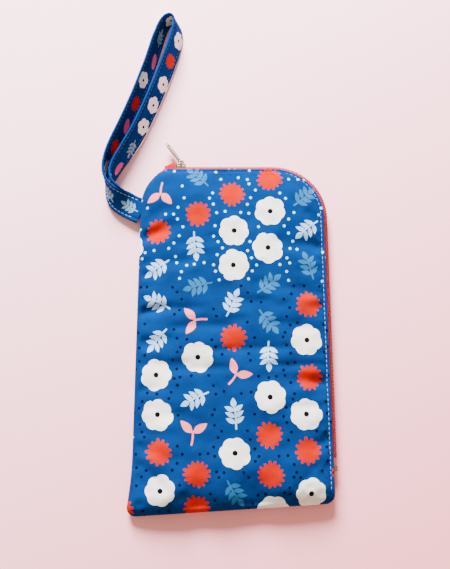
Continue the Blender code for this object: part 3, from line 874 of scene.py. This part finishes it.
def tube(points, radius, sides=6, closed=False, squeeze=1.0):
    """Rings of a tube along points: (vertices, faces)."""
    verts, faces = [], []
    count = len(points)
    for i, point in enumerate(points):
        before = points[(i - 1) % count] if closed or i else point
        after = points[(i + 1) % count] if closed or i < count - 1 else point
        tangent = (after - before).normalized()
        side = tangent.cross(Vector((0.02, 0.03, 1.0)))
        if side.length < 0.2:
            side = tangent.cross(Vector((1.0, 0.02, 0.0)))
        side.normalize()
        up = side.cross(tangent)
        r = radius[i] if isinstance(radius, (list, tuple)) else radius
        for k in range(sides):
            a = 2 * pi * k / sides
            verts.append(point + side * (r * cos(a)) + up * (r * squeeze * sin(a)))
    for i in range(count if closed else count - 1):
        for k in range(sides):
            m = (k + 1) % sides
            j = (i + 1) % count
            faces.append((i * sides + k, i * sides + m, j * sides + m, j * sides + k))
    if not closed:
        faces.append(tuple(range(sides - 1, -1, -1)))
        faces.append(tuple((count - 1) * sides + k for k in range(sides)))
    return verts, faces


class Pile:
    """Collects many small parts into one mesh."""

    def __init__(self):
        self.points = []
        self.faces = []

    def add(self, part):
        base = len(self.points)
        self.points += part[0]
        self.faces += [tuple(base + v for v in face) for face in part[1]]

    def make(self, name, stuff):
        return finish_mesh(name, self.points, self.faces, stuff)


def start_bulge(x):
    """The tape ends stand out past the slider and turn in at the corner."""
    rise = unit((x - BULGE_FROM) / BULGE_RISE) * unit((BULGE_TO - x) / BULGE_FALL)
    return BULGE_OUT * rise * rise * (3.0 - 2.0 * rise)


def at_zip(point, out, n, z):
    """n outward of a point of the zip's run, z above the zip's middle."""
    return point + out * n + Vector((0, 0, ZIP_MID_Z + z))


def add_tape(name, side, stuff):
    points, faces, weave = [], [], []
    run = zip_run(0.0, TAPE_START_X, ZIP_END_Y - 5.4, 1.0)
    for i, (point, out, pattern_y) in enumerate(run):
        top = ZIP_EDGE_HEIGHT
        if side > 0 and point.x < FOLD_TOP.x and pattern_y > PANEL_TOP - 1:
            top = front_height(point.x, PANEL_TOP)
        elif side > 0 and pattern_y < PANEL_BOTTOM + 20:
            top = front_height(right_x(pattern_y), pattern_y)
        tuck = max(top - ZIP_MID_Z - 0.9, 1.7)
        swing = start_bulge(point.x) if pattern_y > PANEL_TOP - 1 else 0.0
        wave = 0.07 * waver(i * 0.21, side, 0)
        out_n = TAPE_OUT + swing + wave + 0.6 * max(out.y, 0.0) ** 2
        centre = [(-2.6 + swing * 0.4, tuck - 0.25), (-1.0 + swing * 0.6, tuck - 0.25),
                  (-0.3 + swing, tuck - 0.32), (out_n - 0.2, tuck - 0.55),
                  (out_n, tuck - 0.95), (out_n, (tuck - 0.95 + 0.4) * 0.66),
                  (out_n, (tuck - 0.95 + 0.4) * 0.33 + 0.2), (out_n, 0.4)]
        half, ring = TAPE_HALF_T, []
        for k, (n, z) in enumerate(centre):
            before, after = centre[max(k - 1, 0)], centre[min(k + 1, len(centre) - 1)]
            length = dist(before, after)
            un, uz = -(after[1] - before[1]) / length, (after[0] - before[0]) / length
            ring.append(((n + un * half, z + uz * half), (n - un * half, z - uz * half)))
        loop = [p[0] for p in ring] + [p[1] for p in reversed(ring)]
        for k, (n, z) in enumerate(loop):
            points.append(at_zip(point, out, n, side * z))
            weave.append((i * 1.0, k * 1.1, 0.0))
    count = 16
    for i in range(len(run) - 1):
        for k in range(count):
            m = (k + 1) % count
            faces.append((i * count + k, (i + 1) * count + k, (i + 1) * count + m, i * count + m))
    faces.append(tuple(range(count)))
    faces.append(tuple(range(len(points) - 1, len(points) - 1 - count, -1)))
    tape = finish_mesh(name, points, faces, stuff)
    lay_weave(tape, weave)
    return tape


def add_teeth(name, side, stuff):
    """Nylon coil teeth: loops sewn to the tape, whose heads mesh with the other row's."""
    pile = Pile()
    run = zip_run(0.0, TEETH_START_X, TEETH_END_Y, TOOTH_PITCH / 2)
    for point, out, _ in run[(0 if side > 0 else 1)::2]:
        loop = [(0.62, 1.9), (1.15, 2.25), (2.05, 1.95), (2.5, 1.0), (2.35, -0.35), (1.75, -0.55),
                (1.15, -0.3), (0.75, 0.7)]
        line = [at_zip(point, out, n, side * z) for n, z in loop]
        pile.add(tube(line, [0.2, 0.27, 0.27, 0.28, 0.33, 0.33, 0.28, 0.2], 6))
    core = [at_zip(point, out, 1.3, side * 1.25) for point, out, _ in run]
    pile.add(tube(core[::3], 0.34, 6))
    for offset in (0.7, 2.3):
        thread = [at_zip(point, out, 0.62, side * offset) for point, out, _ in run]
        beads = [0.16 if k % 2 else 0.09 for k in range(len(thread))]
        pile.add(tube(thread, beads, 5))
    return pile.make(name, stuff)


def crisp(name, mesh):
    """An object with smooth faces and sharp corners."""
    mesh.shade_smooth()
    mesh.set_sharp_from_angle(angle=radians(38))
    return link(name, mesh)


def plate(name, loops, half_thickness, bevel, stuff):
    """A flat plate with bevelled edges; loops are the outline, then any holes, in x and y."""
    curve = bpy.data.curves.new(name, "CURVE")
    curve.dimensions, curve.fill_mode = "2D", "BOTH"
    curve.extrude = (half_thickness - bevel) * MM
    curve.bevel_depth = bevel * MM
    curve.bevel_resolution = 2
    curve.offset = -bevel * MM
    for loop in loops:
        spline = curve.splines.new("POLY")
        spline.points.add(len(loop) - 1)
        for target, (x, y) in zip(spline.points, loop):
            target.co = (x * MM, y * MM, 0.0, 1.0)
        spline.use_cyclic_u = True
    holder = link(name + "_curve", curve)
    depsgraph = bpy.context.evaluated_depsgraph_get()
    mesh = bpy.data.meshes.new_from_object(holder.evaluated_get(depsgraph))
    bpy.data.objects.remove(holder, do_unlink=True)
    mesh.name = name
    mesh.materials.clear()
    mesh.materials.append(stuff)
    return crisp(name, mesh)


def join(name, pieces):
    """One object of several, in place."""
    mesh = bmesh.new()
    stuff = pieces[0].data.materials[0]
    for piece in pieces:
        copy = piece.data.copy()
        copy.transform(piece.matrix_basis)
        mesh.from_mesh(copy)
        bpy.data.meshes.remove(copy)
        bpy.data.objects.remove(piece, do_unlink=True)
    data = bpy.data.meshes.new(name)
    mesh.to_mesh(data)
    mesh.free()
    data.materials.append(stuff)
    return crisp(name, data)


def rounded(points, radius, steps=4):
    """A polygon with its corners rounded off."""
    made = []
    count = len(points)
    for k, here in enumerate(points):
        before, after = points[k - 1], points[(k + 1) % count]
        reach = min(radius, dist(here, before) / 2, dist(here, after) / 2)
        a = [here[i] + (before[i] - here[i]) * reach / dist(here, before) for i in (0, 1)]
        b = [here[i] + (after[i] - here[i]) * reach / dist(here, after) for i in (0, 1)]
        for m in range(steps + 1):
            t = m / steps
            made.append(tuple((1 - t) ** 2 * a[i] + 2 * t * (1 - t) * here[i] + t * t * b[i]
                              for i in (0, 1)))
    return made


def stand(thing, y):
    """Turns a plate made in XY so that it stands in XZ, at the slider and at y millimetres."""
    thing.data.transform(Matrix.Translation(Vector((SLIDER_X, y, ZIP_MID_Z)) * MM)
                         @ Matrix.Rotation(radians(90), 4, "X"))
    return thing


def add_slider(metal):
    left = SLIDER_X - SLIDER_LENGTH / 2
    half = SLIDER_HALF_H
    squeeze = SLIDER_LENGTH / 8.6
    shield = [(0.0, -1.9), (1.0, -half), (3.4, -half), (5.6, -2.55), (8.2, -2.5), (8.6, -1.6)]
    shield += [(x, -z) for x, z in reversed(shield)]
    shield = rounded([(left + x * squeeze - SLIDER_X, z) for x, z in shield], 0.8)
    parts = []
    for y in (PLATE_Y + SLIDER_PLATE / 2, PANEL_TOP - 0.2 - SLIDER_PLATE / 2):
        part = plate("part", [shield], SLIDER_PLATE / 2, 0.22, metal)
        parts.append(stand(part, y))
    for side in (-1, 1):
        line = [(left + x * squeeze, half - z)
                for x, z in ((0.9, 0.35), (3.4, 0.35), (5.6, 0.75), (8.3, 0.8))]
        strip = rounded([(x, z - 0.27) for x, z in line]
                        + [(x, z + 0.27) for x, z in reversed(line)], 0.2)
        strip = [(x - SLIDER_X, z * side) for x, z in strip]
        part = plate("part", [strip], 1.15, 0.12, metal)
        parts.append(stand(part, PLATE_Y - 0.95))
    neck = rounded([(-2.8, 0), (-2.1, -0.5), (-0.8, 0), (-2.1, 0.5)], 0.2)
    part = plate("part", [neck], 2.2, 0.05, metal)
    parts.append(stand(part, PANEL_TOP + 1.2))
    lugs = Pile()
    for x in (-1.35, 1.35):
        foot = [Vector((SLIDER_X + x, PLATE_Y + SLIDER_PLATE - 0.2, ZIP_MID_Z)),
                Vector((SLIDER_X + x, PLATE_Y + SLIDER_PLATE + 0.35, ZIP_MID_Z))]
        lugs.add(tube(foot, [0.95, 0.62], 12))
    parts.append(lugs.make("part", metal))
    shell = join("slider_shell", parts)
    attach(shell, "zip_slider")
    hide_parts("slider_body")

    arch = []
    for k in range(25):
        a = radians(180 - 7.5 * k)
        arch.append(Vector((SLIDER_X + 1.35 * cos(a), PULL_Y + 1.35 * sin(a), ZIP_MID_Z)))
    drop = Vector((0, 0.95, 0))
    arch = [arch[0] - drop, arch[0] - drop / 2] + arch + [arch[-1] - drop / 2, arch[-1] - drop]
    wire = Pile()
    wire.add(tube(arch, 0.4, 12, squeeze=1.25))
    bail = wire.make("bail_wire", metal)
    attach(bail, "zip_slider")
    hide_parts("slider_bail")

    outline = [(-0.75, -1.1), (0.3, -1.9), (3.3, -1.9), (4.6, -PULL_WIDTH / 2 + 0.3)]
    outline += [(8.5, -PULL_WIDTH / 2), (11.5, -PULL_WIDTH / 2 + 0.1), (PULL_LENGTH, -1.1)]
    outline = rounded(outline + [(x, -z) for x, z in reversed(outline)], 1.2)
    eye = rounded([(0.45, -0.95), (2.7, -0.95), (2.7, 0.95), (0.45, 0.95)], 0.5)
    hole = oval(PULL_LENGTH - 2.3, 0, 1.0, 0.95)
    body = plate("part", [outline, eye, hole], PULL_T / 2 - 0.08, 0.16, metal)
    rim_line = [(4.6, -1.5), (9.6, -1.6), (9.6, 1.6), (4.6, 1.5)]
    raised = plate("part", [rounded(rim_line, 0.8), rounded([(5.1, -1.05), (9.1, -1.15),
                   (9.1, 1.15), (5.1, 1.05)], 0.6)], PULL_T / 2, 0.08, metal)
    lip = Pile()
    ring = [Vector((PULL_LENGTH - 2.3 + 1.25 * cos(a), 1.2 * sin(a), 0))
            for a in (2 * pi * k / 24 for k in range(24))]
    lip.add(tube(ring, 0.42, 8, closed=True))
    pull = join("pull_plate", [body, raised, lip.make("part", metal)])
    pull.data.transform(Matrix.Translation(Vector((SLIDER_X, PULL_Y, ZIP_MID_Z)) * MM)
                        @ Matrix.Rotation(radians(PULL_REST_DEG), 4, "Z")
                        @ Matrix.Rotation(radians(90 - PULL_ROLL), 4, "X"))
    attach(pull, "zip_pull")
    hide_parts("pull_tab")


def add_zip(tape_stuff, nylon, metal):
    for make, name, side, stuff, slot, nodes in (
            (add_tape, "zip_tape_upper", 1, tape_stuff, "zip_tape",
             ("zip_tape_front", "zip_tape_front_start", "zip_tape_front_end")),
            (add_tape, "zip_tape_lower", -1, tape_stuff, "zip_tape", ("zip_tape_back",)),
            (add_teeth, "teeth_upper", 1, nylon, "zip_nylon", ("zip_coil_front",)),
            (add_teeth, "teeth_lower", -1, nylon, "zip_nylon", ("zip_coil_back",))):
        piece = make(name, side, stuff)
        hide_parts(*nodes)
        if side > 0:
            fold_with_mouth(piece)
        else:
            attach(piece, "pouch")
    add_slider(metal)
    for name in ("zip_top_stop_front", "zip_top_stop_back", "zip_bottom_stop"):
        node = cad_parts[name]
        node.data.materials.clear()
        node.data.materials.append(metal)


# ---------------------------------------------------------------- stitches
def add_stitches(name, path, stuff, length=1.9, gap=0.75, thickness=0.15):
    """Short threads along a path of (point, outward normal) pairs, thinner along the top edge."""
    pile = Pile()
    travelled = [0.0]
    for (a, _), (b, _) in zip(path, path[1:]):
        travelled.append(travelled[-1] + (b - a).length)

    def at(distance):
        k = int(np.searchsorted(travelled, distance)) - 1
        k = min(max(k, 0), len(path) - 2)
        span = travelled[k + 1] - travelled[k] or 1.0
        share = (distance - travelled[k]) / span
        return path[k][0].lerp(path[k + 1][0], share), path[k][1].lerp(path[k + 1][1], share)

    rng = random.Random(7)
    start = 0.5
    while start + length < travelled[-1]:
        radius = thickness * (0.35 if at(start)[0].y > PANEL_TOP - 3.0 else 1.0)
        line = []
        for share, lift in ((0.0, -0.9), (0.12, 0.2), (0.5, 1.0), (0.88, 0.2), (1.0, -0.9)):
            point, normal = at(start + length * share)
            line.append(point + normal * radius * lift * 0.55)
        pile.add(tube(line, [radius * 0.6, radius, radius, radius, radius * 0.6], 6))
        start += length + gap + rng.uniform(-0.05, 0.05)
    return pile.make(name, stuff)


def surface_path(run, to_3d):
    path = []
    for point, _, _ in run:
        x, y = point.x, point.y
        z = to_3d(x, y)[2]
        dx = (to_3d(x + 0.3, y)[2] - to_3d(x - 0.3, y)[2]) / 0.6
        dy = (to_3d(x, y + 0.3)[2] - to_3d(x, y - 0.3)[2]) / 0.6
        path.append((Vector((x, y, z)), Vector((-dx, -dy, 1.0)).normalized()))
    return path


# ---------------------------------------------------------------- wrist strap
def strap_route():
    """Centre of the band and its lean in degrees: 0 and 180 lie flat, 90 stands on edge."""
    top_z, low_z = STRAP_SEAM.z + 0.9, STRAP_SEAM.z - 0.9
    stand_z = STRAP_W / 2 + 0.25
    standing = (
        (-71.6, 86.8, 66), (-74.0, 94.0, 88), (-73.2, 103.0, 100), (-69.6, 113.5, 104),
        (-62.9, 128.0, 106), (-55.5, 146.0, 107), (-48.9, 164.5, 108), (-44.3, 180.0, 106),
        (-40.6, 189.2, 100), (-36.6, 192.2, 90), (-33.4, 189.3, 78), (-33.4, 182.0, 68),
        (-36.4, 170.5, 64), (-41.2, 156.5, 63), (-48.2, 138.5, 63), (-55.6, 122.0, 64),
        (-63.0, 109.0, 68), (-67.3, 102.0, 73), (-69.7, 96.0, 82), (-70.3, 91.5, 97))
    return [
        (STRAP_SEAM.x, STRAP_SEAM.y, top_z, 2), (-60.5, 77.9, top_z + 0.4, 12),
        (-66.6, 81.2, 6.3, 34), *((x, y, stand_z, lean) for x, y, lean in standing),
        (-69.0, 87.4, 7.1, 117), (-65.7, 82.3, 4.8, 146),
        (-60.3, 78.3, low_z + 0.3, 168), (STRAP_SEAM.x, STRAP_SEAM.y, low_z, 178)]


def strap_frames():
    """Evenly spaced (distance, middle, along, across, through) down the band."""
    fine = smooth_line(strap_route(), 16)
    lengths = [0.0]
    for p, q in zip(fine, fine[1:]):
        lengths.append(lengths[-1] + dist(p[:3], q[:3]))
    total = lengths[-1]
    samples, k = [], 0
    for i in range(STRAP_STATIONS):
        want = total * i / (STRAP_STATIONS - 1)
        while k < len(fine) - 2 and lengths[k + 1] < want:
            k += 1
        share = (want - lengths[k]) / (lengths[k + 1] - lengths[k])
        samples.append([a + (b - a) * share for a, b in zip(fine[k], fine[k + 1])])
    frames = []
    for i, (x, y, z, lean) in enumerate(samples):
        before = Vector(samples[max(i - 2, 0)][:3])
        after = Vector(samples[min(i + 2, len(samples) - 1)][:3])
        direction = (after - before).normalized()
        level = Vector((direction.y, -direction.x, 0)).normalized()
        angle = radians(lean)
        across = level * cos(angle) + Vector((0, 0, sin(angle)))
        across = (across - direction * across.dot(direction)).normalized()
        frames.append((Vector((x, y, z)), direction, across, direction.cross(across)))
    return total, frames


def strap_section(p):
    """(across, through) on the band's cross-section, p millimetres round it from its low edge."""
    t, flat, quarter = STRAP_T / 2, STRAP_FLAT, STRAP_QUARTER
    if p < quarter:
        a, b = -flat - t * cos(p / t), t * sin(p / t)
    elif p < quarter + 2 * flat:
        a, b = -flat + p - quarter, t
    elif p < 3 * quarter + 2 * flat:
        turn = (p - quarter - 2 * flat) / t
        a, b = flat + t * sin(turn), t * cos(turn)
    elif p < 3 * quarter + 4 * flat:
        a, b = flat - (p - 3 * quarter - 2 * flat), -t
    else:
        turn = (p - 3 * quarter - 4 * flat) / t
        a, b = -flat - t * sin(turn), -t * cos(turn)
    pinch = exp(-((abs(a) - STRAP_STITCH) / 0.6) ** 2)
    return a, b * (1.0 - 0.4 * pinch)


def strap_motifs():
    """The band's print. (s, a) is along and across it; outer and inner are its two faces."""
    shapes = []

    def outer(s, a):
        return s, a + STRAP_FLAT + STRAP_QUARTER

    def inner(s, a):
        return s, 3 * STRAP_QUARTER + 3 * STRAP_FLAT - a

    rng = random.Random(PRINT_SEED)
    for k in range(19):
        s = 5.0 + 14.4 * k
        for face in (outer, inner):
            def add(colour, *polygons):
                shapes.extend(([face(*p) for p in polygon], colour) for polygon in polygons)

            middle, turn = rng.uniform(-2.4, 2.4), rng.uniform(-30, 30)
            kind = rng.choices(("pompom", "daisy", "sprig", "oval"), (4, 3, 4, 2))[0]
            if kind == "pompom":
                add(STRAP_CORAL, burst(s, middle, 4.6, turn, 12, k))
            elif kind == "daisy":
                add(CREAM, scallop(s, middle, 5.0, turn, 6, k))
                add(BLACK, dot(s, middle, 0.9))
            elif kind == "sprig":
                add(STRAP_LEAF, *sprig(s, middle, turn - 90, 5.2))
            else:
                add(MAUVE, oval(s, middle, 4.6, 2.6, turn))
    return shapes


def add_strap(cotton, thread):
    total, frames = strap_frames()
    last = len(frames) - 1

    def frame_at(s):
        place_in = unit(s / total) * last
        k = min(int(place_in), last - 1)
        share = place_in - k
        mixed = [p.lerp(q, share) for p, q in zip(frames[k], frames[k + 1])]
        over = min(s, 0.0) + max(s - total, 0.0)
        mixed[0] = mixed[0] + mixed[1] * over
        return mixed

    def lie(s, a, b):
        middle, _, across, through = frame_at(s)
        ripple = 0.16 * waver(s / 7, a / 6, 2.0)
        return middle + across * a - through * (b + ripple * 0.6)

    def to_3d(s, p):
        a, b = strap_section(p % STRAP_ROUND)
        return lie(s, a, b)

    tuck, steps, count = 2.2, 60, int(total / 1.2)
    flat, quarter, length = STRAP_FLAT, STRAP_QUARTER, total + 2 * tuck
    outline = [(-tuck, STRAP_ROUND * (1 - k / steps)) for k in range(steps)]
    outline += [(-tuck + length * k / count, 0.0) for k in range(count)]
    outline += [(total + tuck, STRAP_ROUND * k / steps) for k in range(steps)]
    outline += [(total + tuck - length * k / count, STRAP_ROUND) for k in range(count)]
    rows = []
    for edge in (0.0, 2 * quarter + 2 * flat, 4 * quarter + 4 * flat):
        rows += [edge + quarter * f for f in (-1.0, -0.66, -0.33, 0.0, 0.33, 0.66, 1.0)]
    near_edge = (0.7, 1.0, 1.2, 1.45, 1.7, 2.0, 2.5)
    for side in (0, 1):
        base = quarter + side * (2 * quarter + 2 * flat)
        rows += [base + d for d in near_edge]
        rows += [base + 2 * flat - d for d in near_edge]
        rows += [base + 2.5 + (2 * flat - 5.0) * k / 7 for k in range(1, 7)]
    points = [(-tuck + 1.0 + (length - 2.0) * k / count, p)
              for p in rows if 0.02 < p < STRAP_ROUND - 0.02 for k in range(count)]
    cloth = printed_mesh("strap_cloth", cotton, outline, points, strap_motifs(), to_3d, STRAP_BLUE)
    merge = bmesh.new()
    merge.from_mesh(cloth.data)
    bmesh.ops.remove_doubles(merge, verts=merge.verts, dist=1e-7)
    merge.to_mesh(cloth.data)
    merge.free()
    cloth.data.shade_smooth()
    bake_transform(cloth)
    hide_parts("wrist_strap")

    pile = []
    for face in (1, -1):
        for row in (-STRAP_STITCH, STRAP_STITCH):
            path = []
            for k in range(int(total) - 2):
                s = 1.5 + k
                _, _, _, through = frame_at(s)
                _, b = strap_section(quarter + flat + row)
                path.append((lie(s, row, face * b), through * -face))
            pile.append(add_stitches("part", path, thread, 1.7, 0.75, 0.2))
    stitches = join("strap_stitches", pile)
    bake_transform(stitches)


# ---------------------------------------------------------------- stage
def paper():
    """Pale pink paper with painted light: paler towards the window at the back left, deeper pink
    towards the front right.
    """
    made, tree, shader = new_material("floor_paper")
    where = add_node(tree, "ShaderNodeTexCoord")
    split = add_node(tree, "ShaderNodeSeparateXYZ")
    tree.links.new(where.outputs["Object"], split.inputs[0])
    # Painted light: the factor runs from deeper pink at the front right to paler pink towards the
    # window.
    slope = math_node(tree, "SUBTRACT", math_node(tree, "MULTIPLY", split.outputs[1], 2.4),
                      math_node(tree, "MULTIPLY", split.outputs[0], 1.5))
    share = math_node(tree, "ADD", slope, 0.45)
    share.node.use_clamp = True
    mix = add_node(tree, "ShaderNodeMix", data_type="RGBA")
    mix.inputs[6].default_value = (0.93, 0.33, 0.42, 1.0)
    mix.inputs[7].default_value = (0.96, 0.60, 0.74, 1.0)
    tree.links.new(share, mix.inputs[0])
    tree.links.new(mix.outputs[2], shader.inputs["Base Color"])
    fill(shader, {"Roughness": 0.9, "Specular IOR Level": 0.1})
    return made


def add_stage():
    corners = [(x * FLOOR_HALF, y * FLOOR_HALF, FLOOR_Z)
               for x, y in ((-1, -1), (1, -1), (1, 1), (-1, 1))]
    floor = finish_mesh("floor", corners, [(0, 1, 2, 3)], paper(), smooth=False)

    data = bpy.data.lights.new("window", "AREA")
    data.shape, data.size, data.energy = "DISK", WINDOW_SIZE, KEY_POWER
    data.color = (1.0, 0.97, 0.94)
    light = link("window", data)
    light.location = WINDOW_AT
    light.rotation_euler = (-WINDOW_AT).to_track_quat("-Z", "Y").to_euler()
    world = bpy.data.worlds.new("studio")
    world.use_nodes = True
    fill(world.node_tree.nodes["Background"],
         {"Color": (1.0, 0.77, 0.52, 1.0), "Strength": WORLD_POWER})
    bpy.context.scene.world = world

    data = bpy.data.cameras.new("camera")
    data.lens, data.sensor_width = CAMERA_LENS, 36.0
    data.clip_start, data.clip_end = 0.01, 20.0
    camera = link("camera", data)
    camera.location = CAMERA_AT
    camera.rotation_euler = (radians(CAMERA_TILT), 0.0, 0.0)
    bpy.context.scene.camera = camera


def main():
    cotton = fabric("cotton_print", bump=0.7, vary=0.30, sheen=0.008, specular=0.02)
    batting = plain("batting", WADDING, 0.95, bump=0.6, scale=900.0, distance=0.0004)
    lining = fabric("lining_weave", LINING)
    tape_stuff = fabric("tape_weave", RED, pitch=0.7, bump=0.7)
    nylon = plain("nylon", NYLON_RED, 0.42, bump=0.15)
    # The nickel's colour carries painted shade, standing in for dark reflections.
    metal = plain("nickel_plate", NICKEL_WITH_PAINTED_SHADE, 0.28, 1.0, bump=0.06, scale=1500.0)
    thread = plain("thread", THREAD, 0.7, bump=0.4, scale=4000.0)

    settled = settle()
    motifs = front_motifs()
    front_3d = add_front_cloth(motifs, cotton, settled)
    back_3d = add_back_cloth(motifs, cotton)
    add_layers(batting, lining, settled)
    add_zip(tape_stuff, nylon, metal)

    run = zip_run(TOPSTITCH, STITCH_START_X, ZIP_END_Y, 0.5)
    seam = add_stitches("front_topstitch", surface_path(run, front_3d), thread)
    fold_with_mouth(seam)
    low_path = [(point, -normal) for point, normal in surface_path(run, back_3d)]
    low_seam = add_stitches("back_topstitch", low_path, thread)
    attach(low_seam, "pouch")
    add_strap(cotton, thread)
    add_stage()


main()
